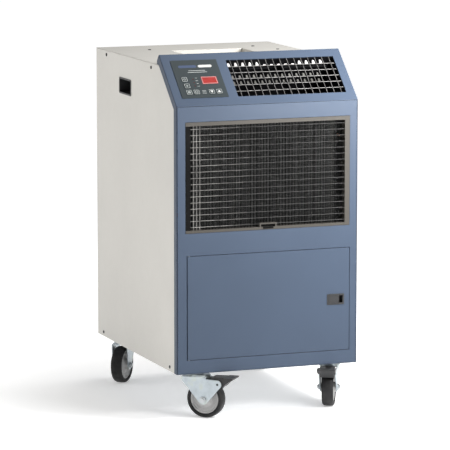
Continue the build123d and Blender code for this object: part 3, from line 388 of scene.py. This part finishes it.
def lathe(bm, profile, centre, axis, steps=96, closed=True):
    """Turns a profile of (radius, along) points about an axis."""
    centre = Vector(centre)
    side, other, along = basis(axis)
    rings = []
    for radius, reach in profile:
        if radius < 1e-6:
            rings.append([bm.verts.new(centre + along * reach)])
            continue
        ring = []
        for step in range(steps):
            turn = 2 * pi * step / steps
            offset = (side * cos(turn) + other * sin(turn)) * radius
            ring.append(bm.verts.new(centre + along * reach + offset))
        rings.append(ring)
    pairs = list(zip(rings, rings[1:]))
    if closed:
        pairs.append((rings[-1], rings[0]))
    for first, second in pairs:
        for step in range(steps):
            after = (step + 1) % steps
            corners = [first[step % len(first)], first[after % len(first)]]
            corners += [second[after % len(second)], second[step % len(second)]]
            unique = []
            for corner in corners:
                if corner not in unique:
                    unique.append(corner)
            if len(unique) > 2:
                bm.faces.new(unique)


def slab(bm, outline, base, normal, thickness):
    """A flat prism: outline points raised along the normal."""
    low = [bm.verts.new(Vector(point) + Vector(normal) * base) for point in outline]
    high = [bm.verts.new(Vector(point) + Vector(normal) * (base + thickness)) for point in outline]
    bm.faces.new(list(reversed(low)))
    bm.faces.new(high)
    for step in range(len(outline)):
        after = (step + 1) % len(outline)
        bm.faces.new((low[step], low[after], high[after], high[step]))


def box(bm, low, high):
    x0, y0, z0 = low
    x1, y1, z1 = high
    outline = [(x0, y0, z0), (x1, y0, z0), (x1, y1, z0), (x0, y1, z0)]
    slab(bm, outline, 0.0, (0, 0, 1), z1 - z0)


# ---------------------------------------------------------------- camera
# From the middle of the cabinet's front bottom edge.
CAMERA_OFFSET = Vector((-3.0976, -7.8966, 1.6579))
CAMERA_YAW = radians(20.66)
CAMERA_PITCH = radians(8.55)
CAMERA_SENSOR = 36.0  # mm
CAMERA_LENS = 262.07  # mm
CAMERA_REACH = 60.0
camera_data = bpy.data.cameras.new("view_camera")
camera_data.sensor_width = CAMERA_SENSOR
camera_data.lens = CAMERA_LENS
camera_data.clip_end = CAMERA_REACH
camera = bpy.data.objects.new("view_camera", camera_data)
bpy.context.scene.collection.objects.link(camera)
camera.location = Vector(((LEFT_X + RIGHT_X) / 2, FRONT_Y, BASE_Z)) + CAMERA_OFFSET
camera.rotation_euler = (pi / 2 - CAMERA_PITCH, 0, -CAMERA_YAW)
bpy.context.scene.camera = camera


# ---------------------------------------------------------------- floor and light
def add_light(name, place, target, width, height, power):
    """A soft white panel that faces its target and stays out of the camera's sight."""
    data = bpy.data.lights.new(name, "AREA")
    data.shape = "RECTANGLE"
    data.size = width
    data.size_y = height
    data.energy = power
    light = bpy.data.objects.new(name, data)
    bpy.context.scene.collection.objects.link(light)
    light.location = place
    light.rotation_euler = (Vector(target) - Vector(place)).to_track_quat("-Z", "Y").to_euler()
    light.visible_camera = False


FLOOR_HALF = 60.0
floor_mesh = bpy.data.meshes.new("floor")
floor_bm = bmesh.new()
bmesh.ops.create_grid(floor_bm, x_segments=2, y_segments=2, size=FLOOR_HALF)
floor_bm.to_mesh(floor_mesh)
floor_bm.free()
floor = bpy.data.objects.new("floor", floor_mesh)
bpy.context.scene.collection.objects.link(floor)
floor_mat = surface("floor_white", (0.90, 0.90, 0.90), 0.8, 40.0, 0.0001, spec=0.1, drift=0.004)
floor_tree = floor_mat.node_tree
floor_shader = floor_tree.nodes["Principled BSDF"]
floor_shader.inputs["Emission Color"].default_value = (1, 1, 1, 1)
floor_coords = floor_tree.nodes.new("ShaderNodeTexCoord")
floor_reach = floor_tree.nodes.new("ShaderNodeVectorMath")
floor_reach.operation = "LENGTH"
floor_tree.links.new(floor_coords.outputs["Object"], floor_reach.inputs[0])
# Painted shadow: the floor's glow falls from 0.82 far off to 0.36 under the cabinet.
floor_glow = floor_tree.nodes.new("ShaderNodeMapRange")
floor_glow.interpolation_type = "SMOOTHSTEP"
FLOOR_GLOW = {"From Min": 0.35, "From Max": 1.1, "To Min": 0.36, "To Max": 0.82}  # dimmer under the cabinet
for glow_input, glow_value in FLOOR_GLOW.items():
    floor_glow.inputs[glow_input].default_value = glow_value
floor_tree.links.new(floor_reach.outputs["Value"], floor_glow.inputs["Value"])
floor_tree.links.new(floor_glow.outputs["Result"], floor_shader.inputs["Emission Strength"])
floor_mesh.materials.append(floor_mat)

WORLD_STRENGTH = 0.24
world = bpy.data.worlds.new("studio")
bpy.context.scene.world = world
world.use_nodes = True
world.node_tree.nodes["Background"].inputs["Color"].default_value = (1.0, 1.0, 1.0, 1)
world.node_tree.nodes["Background"].inputs["Strength"].default_value = WORLD_STRENGTH
add_light("key_right", (0.60, -0.75, 1.25), (0.2, -0.32, 0.8), 0.5, 0.4, 20)
add_light("panel_right", (0.62, -1.30, 0.86), (0.15, -0.32, 0.80), 0.6, 0.3, 16)
add_light("top_soft", (0.9, 0.9, 3.2), (0.0, 0.1, 0.9), 1.6, 1.6, 32)
add_light("fill_left", (-3.4, 0.9, 1.7), (-0.25, 0.1, 0.5), 2.0, 2.0, 25)
bpy.context.scene.view_settings.view_transform = "Standard"


# ---------------------------------------------------------------- sheet metal and mouldings
for sheet_node in ("front_frame", "front_panel", "access_door", "top_panel", "rear_panel"):
    refined(sheet_node, 0.5 * MM)
for side in ("left", "right"):
    refined("side_panel_" + side, 0.5 * MM)
    refined("handle_cup_" + side, 0.5 * MM)
for moulding in ("latch_bezel", "latch_paddle", "control_label", "display_window"):
    refined(moulding, 0.4 * MM)


# ---------------------------------------------------------------- air outlet
GUARD_BORDER = 4.0 * MM
GUARD_PITCH = 20.0 * MM
GUARD_UPRIGHTS = 15
GUARD_ROWS = 5
GUARD_LOW, GUARD_HIGH = (Vector(corner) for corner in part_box("outlet_guard"))
GUARD_X0 = GUARD_LOW.x - LEFT_X + GUARD_BORDER
GUARD_X1 = GUARD_HIGH.x - LEFT_X - GUARD_BORDER
GUARD_PLACES = [(vertex.co - SLOPE_ORIGIN).dot(UP) for vertex in NODES["outlet_guard"].data.vertices]
GUARD_S0 = min(GUARD_PLACES) + GUARD_BORDER
GUARD_S1 = max(GUARD_PLACES) - GUARD_BORDER
GUARD_MIDDLE = (GUARD_X0 + GUARD_X1) / 2


def outlet_wires():
    """Welded guard: upright wires over cross wires, in a wire border."""
    radius = 0.85 * MM
    depth = -1.6 * MM - radius
    tail = 3.0 * MM  # the wires run on this far past the opening
    bm = bmesh.new()
    for step in range(GUARD_UPRIGHTS):
        x = GUARD_MIDDLE + (step - (GUARD_UPRIGHTS - 1) / 2) * GUARD_PITCH
        rod(bm, on_slope(x, GUARD_S0 - tail, depth), on_slope(x, GUARD_S1 + tail, depth), radius, 12)
    for row in range(GUARD_ROWS):
        s = GUARD_S0 + (row + 1) * (GUARD_S1 - GUARD_S0) / (GUARD_ROWS + 1)
        back = depth - 1.7 * radius
        rod(bm, on_slope(GUARD_X0 - tail, s, back), on_slope(GUARD_X1 + tail, s, back), radius, 12)
    edge = 2.5 * MM
    left, right = GUARD_X0 - edge, GUARD_X1 + edge
    bottom, top = GUARD_S0 - edge, GUARD_S1 + edge
    corners = [(left, bottom), (right, bottom), (right, top), (left, top)]
    for first, second in zip(corners, corners[1:] + corners[:1]):
        rod(bm, on_slope(*first, depth), on_slope(*second, depth), radius * 1.1, 12)
    finish_piece("outlet_wires", bm, MATS["bare_wire"], "cabinet", ("outlet_guard",))


CLIP_THICKNESS = 3.0 * MM
CLIP_SHIFT = 6.5 * MM  # towards the left of its upright wire
CLIP_TALL = ((-4.2, -5.6), (4.6, -5.6), (2.8, 4.6), (0.6, 6.2), (-1.8, 4.6))
CLIP_LOW = ((-3.6, -5.4), (4.4, -5.4), (3.8, -3.2), (-2.4, -3.0))
CLIP_STOP = ((-3.4, -5.6), (3.0, -5.6), (2.2, 3.4), (-0.6, 5.2), (-2.0, 3.0))


def clip(bm, outline, x, rows_down, depth):
    """One clip, its outline in millimetres, so many rows of the guard below its top."""
    row = (GUARD_S1 - GUARD_S0) / (GUARD_ROWS + 1)
    s = GUARD_S1 - rows_down * row
    slab(bm, [on_slope(x + u * MM, s + v * MM, 0) for u, v in outline], -depth * MM, OUT, CLIP_THICKNESS)


def outlet_clips():
    """Moulded clips that hold the vanes: pale ones in the guard's top row, whose pale colour is a painted
    highlight, and dull ones lower down, whose dull colour is painted shade.
    """
    pale = bmesh.new()
    dull = bmesh.new()
    for step in range(GUARD_UPRIGHTS - 1):
        x = GUARD_MIDDLE + (step - GUARD_UPRIGHTS // 2) * GUARD_PITCH - CLIP_SHIFT
        hidden = 5 <= step <= 9  # only the foot shows in the middle
        clip(pale, CLIP_LOW if hidden else CLIP_TALL, x, 0.62, 7.6)
        if step < GUARD_UPRIGHTS - 2:
            clip(dull, CLIP_STOP, x, 2.6, 8.0)
            clip(dull, CLIP_STOP, x, 3.4, 12.0)
    finish_piece("vane_clips", pale, NYLON_PAINTED_HIGHLIGHT, "cabinet", smooth=False)
    finish_piece("vane_stops", dull, NYLON_PAINTED_SHADE, "cabinet", smooth=False)


outlet_wires()
outlet_clips()


# ---------------------------------------------------------------- filter
FILTER_SIDE = 13.5 * MM
FILTER_TOP = 10.0 * MM
FILTER_BOTTOM = 7.0 * MM
TAB_X = (231.0 * MM, 278.5 * MM)  # from the cabinet's left edge
TAB_TOP = 389.0 * MM  # above the base
TAB_WALL = 3.5 * MM
TAB_DEPTH = 13.0 * MM


def filter_frame():
    """Bars around the opening and the pull tab; the left bar, the tab's hollow and its finger notch are dark
    pieces of painted shade.
    """
    low, high = (Vector(corner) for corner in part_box("filter_frame"))
    side, top, bottom, wall = FILTER_SIDE, FILTER_TOP, FILTER_BOTTOM, TAB_WALL
    tab_back = low.y + TAB_DEPTH
    tab_x0 = LEFT_X + TAB_X[0]
    tab_x1 = LEFT_X + TAB_X[1]
    tab_top = BASE_Z + TAB_TOP
    bm = bmesh.new()
    box(bm, (low.x, low.y, high.z - top), high)
    box(bm, low, (high.x, high.y, low.z + bottom))
    box(bm, (high.x - side, low.y, low.z + bottom), (high.x, high.y, high.z - top))
    box(bm, (tab_x0, low.y, low.z + bottom), (tab_x0 + wall, tab_back, tab_top))
    box(bm, (tab_x1 - wall, low.y, low.z + bottom), (tab_x1, tab_back, tab_top))
    box(bm, (tab_x0 + wall, low.y, tab_top - wall), (tab_x1 - wall, tab_back, tab_top))
    edges = [edge for edge in bm.edges if edge.calc_face_angle(0) > 1]
    bmesh.ops.bevel(bm, geom=edges, offset=0.5 * MM, segments=2, affect="EDGES", clamp_overlap=True)
    frame_piece = finish_piece(
        "filter_bars", bm, MATS["filter_plastic"], "filter", ("filter_frame",)
    )
    weight_normals(frame_piece.data)
    # Painted shade: the left bar, the tab's hollow and the finger notch, in the near-black net finish.
    dark = bmesh.new()
    box(dark, (low.x, low.y, low.z + bottom), (low.x + side, high.y, high.z - top))
    box(dark, (tab_x0 + wall, low.y + 5 * MM, low.z + bottom), (tab_x1 - wall, tab_back, tab_top - wall))
    notch = 9.0 * MM
    notch_low = (tab_x0 + notch, low.y - 0.1 * MM, low.z + 1.5 * MM)
    box(dark, notch_low, (tab_x1 - notch, low.y + MM, low.z + bottom))
    finish_piece("filter_painted_shade", dark, MATS["filter_net"], "filter", smooth=False)


filter_frame()


FILTER_ROWS = 17
FILTER_UPRIGHTS = 3
UPRIGHT_START = 8.5 * MM
UPRIGHT_PITCH = 8.9 * MM
NET_PITCH = 3.0 * MM
NET_STRAND = 0.35 * MM  # half of a strand's width


def filter_wires():
    """Cross wires, upright wires, and the fine net behind them."""
    low, high = (Vector(corner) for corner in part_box("filter_net"))
    height = high.z - low.z
    row_y = FRONT_Y + 1.3 * MM
    upright_y = FRONT_Y + 2.9 * MM
    stay_y = FRONT_Y + 4.4 * MM
    bm = bmesh.new()
    for row in range(FILTER_ROWS):
        z = high.z - (row + 0.5) * height / FILTER_ROWS
        rod(bm, (low.x, row_y, z), (high.x, row_y, z), 0.8 * MM)
    for step in range(FILTER_UPRIGHTS):
        x = low.x + UPRIGHT_START + step * UPRIGHT_PITCH
        rod(bm, (x, upright_y, low.z), (x, upright_y, high.z), 0.9 * MM)
    # The cross wires and the first three upright wires carry the painted highlight and painted shade.
    finish_piece("filter_wires", bm, PAINTED_LIGHT_WIRE, "filter")
    # The other upright wires are drawn in the near-black net finish: painted shade on wires like the three lit
    # ones.
    thin = bmesh.new()
    x = low.x + UPRIGHT_START + FILTER_UPRIGHTS * UPRIGHT_PITCH
    while x < high.x - 3 * MM:
        rod(thin, (x, stay_y, low.z), (x, stay_y, high.z), 0.65 * MM, 8)
        x += UPRIGHT_PITCH
    finish_piece("filter_stays", thin, MATS["filter_net"], "filter")
    net = bmesh.new()
    half = NET_STRAND
    y0 = low.y
    count_x = int((high.x - low.x) / NET_PITCH)
    count_z = int(height / NET_PITCH)
    for step in range(count_x + 1):
        x = low.x + step * (high.x - low.x) / count_x
        box(net, (x - half, y0, low.z), (x + half, y0 + 0.6 * MM, high.z))
    for step in range(count_z + 1):
        z = low.z + step * height / count_z
        box(net, (low.x, y0 + 0.5 * MM, z - half), (high.x, y0 + 1.1 * MM, z + half))
    net_material = MATS["filter_net"]
    finish_piece("filter_mesh", net, net_material, "filter", ("filter_net",), smooth=False)


filter_wires()


# ---------------------------------------------------------------- controls
def ring_outline(x, s, width, height, corner, steps=6):
    points = []
    for turn, (sx, ss) in enumerate(((1, 1), (-1, 1), (-1, -1), (1, -1))):
        cx = x + sx * (width / 2 - corner)
        cs = s + ss * (height / 2 - corner)
        for step in range(steps + 1):
            angle = turn * pi / 2 + step * pi / 2 / steps
            points.append((cx + corner * cos(angle), cs + corner * sin(angle)))
    return points


def print_band(bm, outer, inner, height, thickness=0.1 * MM):
    """A printed outline between two loops of slope points."""
    loops = []
    for points in (outer, inner):
        for level in (height, height + thickness):
            loops.append([bm.verts.new(on_slope(x, s, level)) for x, s in points])
    outer_low, outer_high, inner_low, inner_high = loops
    count = len(outer)
    for step in range(count):
        after = (step + 1) % count
        bm.faces.new((outer_high[step], outer_high[after], inner_high[after], inner_high[step]))
        bm.faces.new((outer_low[step], outer_low[after], outer_high[after], outer_high[step]))
        bm.faces.new((inner_low[after], inner_low[step], inner_high[step], inner_high[after]))
        bm.faces.new((outer_low[after], outer_low[step], inner_low[step], inner_low[after]))


def print_patch(bm, points, height, thickness=0.1 * MM):
    slab(bm, [on_slope(x, s, 0) for x, s in points], height, OUT, thickness)


def rectangle(x, s, width, height):
    w, h = width / 2, height / 2
    return [(x - w, s - h), (x + w, s - h), (x + w, s + h), (x - w, s + h)]


def arc_band(bm, x, s, radius, width, start, end, height, steps=20):
    outer, inner = [], []
    for step in range(steps + 1):
        angle = radians(start + (end - start) * step / steps)
        outer.append((x + (radius + width / 2) * cos(angle), s + (radius + width / 2) * sin(angle)))
        inner.append((x + (radius - width / 2) * cos(angle), s + (radius - width / 2) * sin(angle)))
    for step in range(steps):
        quad = [outer[step], outer[step + 1], inner[step + 1], inner[step]]
        print_patch(bm, list(reversed(quad)), height)


BUTTON_OUTER = 14.6 * MM
BUTTON_INNER = 12.8 * MM
MARK_WIDTH = 0.9 * MM


def button_marks(name):
    """Outline and symbol printed on one button."""
    node = "button_" + name
    x, s, top = slope_place(node)
    bm = bmesh.new()
    outer = ring_outline(x, s, BUTTON_OUTER, BUTTON_OUTER, 2.4 * MM)
    inner = ring_outline(x, s, BUTTON_INNER, BUTTON_INNER, 1.6 * MM)
    print_band(bm, outer, inner, top)
    if name == "power":
        arc_band(bm, x, s, 3.2 * MM, MARK_WIDTH, 125, 415, top)
        print_patch(bm, rectangle(x, s + 2.4 * MM, MARK_WIDTH, 3.6 * MM), top)
    elif name == "mode":
        arc_band(bm, x, s, 2.2 * MM, MARK_WIDTH, 0, 360, top)
        print_patch(bm, rectangle(x, s, 1.6 * MM, 1.6 * MM), top)
    elif name == "timer":
        for blade in range(4):
            turn = radians(45 + 90 * blade)
            blade_x = x + 2.2 * MM * cos(turn)
            blade_s = s + 2.2 * MM * sin(turn)
            arc_band(bm, blade_x, blade_s, 1.6 * MM, 1.3 * MM, 0, 360, top, 12)
    elif name == "fan_speed":
        arc_band(bm, x, s, 4.0 * MM, MARK_WIDTH, 0, 360, top)
        print_patch(bm, rectangle(x + MARK_WIDTH, s, 2.6 * MM, MARK_WIDTH), top)
    finish_piece("marks_" + name, bm, PRINT_GREY, node, smooth=False)
    if name in ("up", "down"):
        sign = 1 if name == "up" else -1
        arrow = bmesh.new()
        foot = s - sign * 3.4 * MM
        points = [(x - 4.4 * MM, foot), (x + 4.4 * MM, foot), (x, s + sign * 4.6 * MM)]
        if sign < 0:
            points.reverse()
        print_patch(arrow, points, top + 0.05 * MM)
        finish_piece("arrow_" + name, arrow, PRINT_WHITE, node, smooth=False)


for button_name in ("power", "mode", "timer", "fan_speed", "down", "up"):
    refined("button_" + button_name, 0.3 * MM)
    button_marks(button_name)


def label_marks():
    """Plain heading bars, small lines by the lights and buttons, and the display's border."""
    _, _, top = slope_place("control_label")
    grey = bmesh.new()
    heading = 136.0 * MM  # up the slope, from its foot
    bar_height = 9.0 * MM
    bar_corner = 4.4 * MM
    line_height = 1.1 * MM
    for width, s in ((46.0, 121.5), (54.0, 115.5)):
        print_patch(grey, rectangle(89.0 * MM, s * MM, width * MM, 1.5 * MM), top)
    for row in range(4):
        s = (67.0 + row * 9.5) * MM
        print_patch(grey, rectangle(79.5 * MM, s, (7.0 - (row % 2) * 2.0) * MM, line_height), top)
    for row in range(3):
        print_patch(grey, rectangle(90.0 * MM, (42.0 + row * 4.6) * MM, 11.0 * MM, line_height), top)
    finish_piece("label_print", grey, PRINT_GREY, "cabinet", smooth=False)
    blue = bmesh.new()
    print_patch(blue, ring_outline(66.0 * MM, heading, 50.0 * MM, bar_height, bar_corner), top)
    finish_piece("label_bar_blue", blue, PRINT_BLUE, "cabinet", smooth=False)
    white = bmesh.new()
    print_patch(white, ring_outline(115.0 * MM, heading, 38.0 * MM, bar_height, bar_corner), top)
    finish_piece("label_bar_white", white, PRINT_WHITE, "cabinet", smooth=False)
    x, s, window_top = slope_place("display_window")
    pink = bmesh.new()
    outer = ring_outline(x, s, 42.0 * MM, 24.0 * MM, 1.6 * MM)
    inner = ring_outline(x, s, 38.0 * MM, 20.0 * MM, 0.8 * MM)
    print_band(pink, outer, inner, window_top)
    finish_piece("display_border", pink, PRINT_PINK, "cabinet", smooth=False)


label_marks()


# ---------------------------------------------------------------- casters
# Half profiles in millimetres: radius, and distance from the wheel's middle plane.
CORE_PROFILE = (
    (39.0, 12.6), (37.6, 13.4), (36.2, 13.2), (35.2, 11.4), (34.4, 10.2), (33.2, 10.0), (31.8, 10.9),
    (27.0, 9.2), (26.0, 8.2), (21.5, 8.0), (20.5, 9.4), (17.0, 10.4), (14.0, 12.5), (12.6, 18.6),
    (11.8, 19.8), (5.05, 19.8),
)
TYRE_PROFILE = (
    (39.05, 13.2), (41.0, 15.0), (43.6, 15.9), (46.2, 15.6), (48.6, 13.6), (50.0, 10.4), (50.6, 6.0),
    (50.8, 1.5),
)


def mirrored(half):
    """The whole profile in metres, from one side of the wheel round to the other."""
    profile = [(radius * MM, reach * MM) for radius, reach in half]
    return profile + [(radius * MM, -reach * MM) for radius, reach in reversed(half)]


def wheel(caster):
    """Ringed core and a rubber tyre with rounded shoulders."""
    joint = JOINTS["roll_" + caster]
    centre, axis = joint["pos_m"], joint["axis"]
    core = bmesh.new()
    lathe(core, mirrored(CORE_PROFILE), centre, axis, 96)
    body = "wheel_" + caster
    finish_piece("core_" + caster, core, MATS["wheel_core"], body, ("wheel_core_" + caster,))
    tyre = bmesh.new()
    lathe(tyre, mirrored(TYRE_PROFILE), centre, axis, 128)
    finish_piece(
        "tread_" + caster, tyre, MATS["tyre_rubber"], body, ("tyre_" + caster,), angle=60
    )


for caster_name in ("front_left", "front_right", "rear_left", "rear_right"):
    wheel(caster_name)
    refined("fork_" + caster_name, 0.6 * MM)
    refined("axle_" + caster_name, 0.5 * MM)
for caster_name in ("front_left", "front_right"):
    refined("pedal_" + caster_name, 0.9 * MM)
refined("caster_stems", 0.4 * MM)
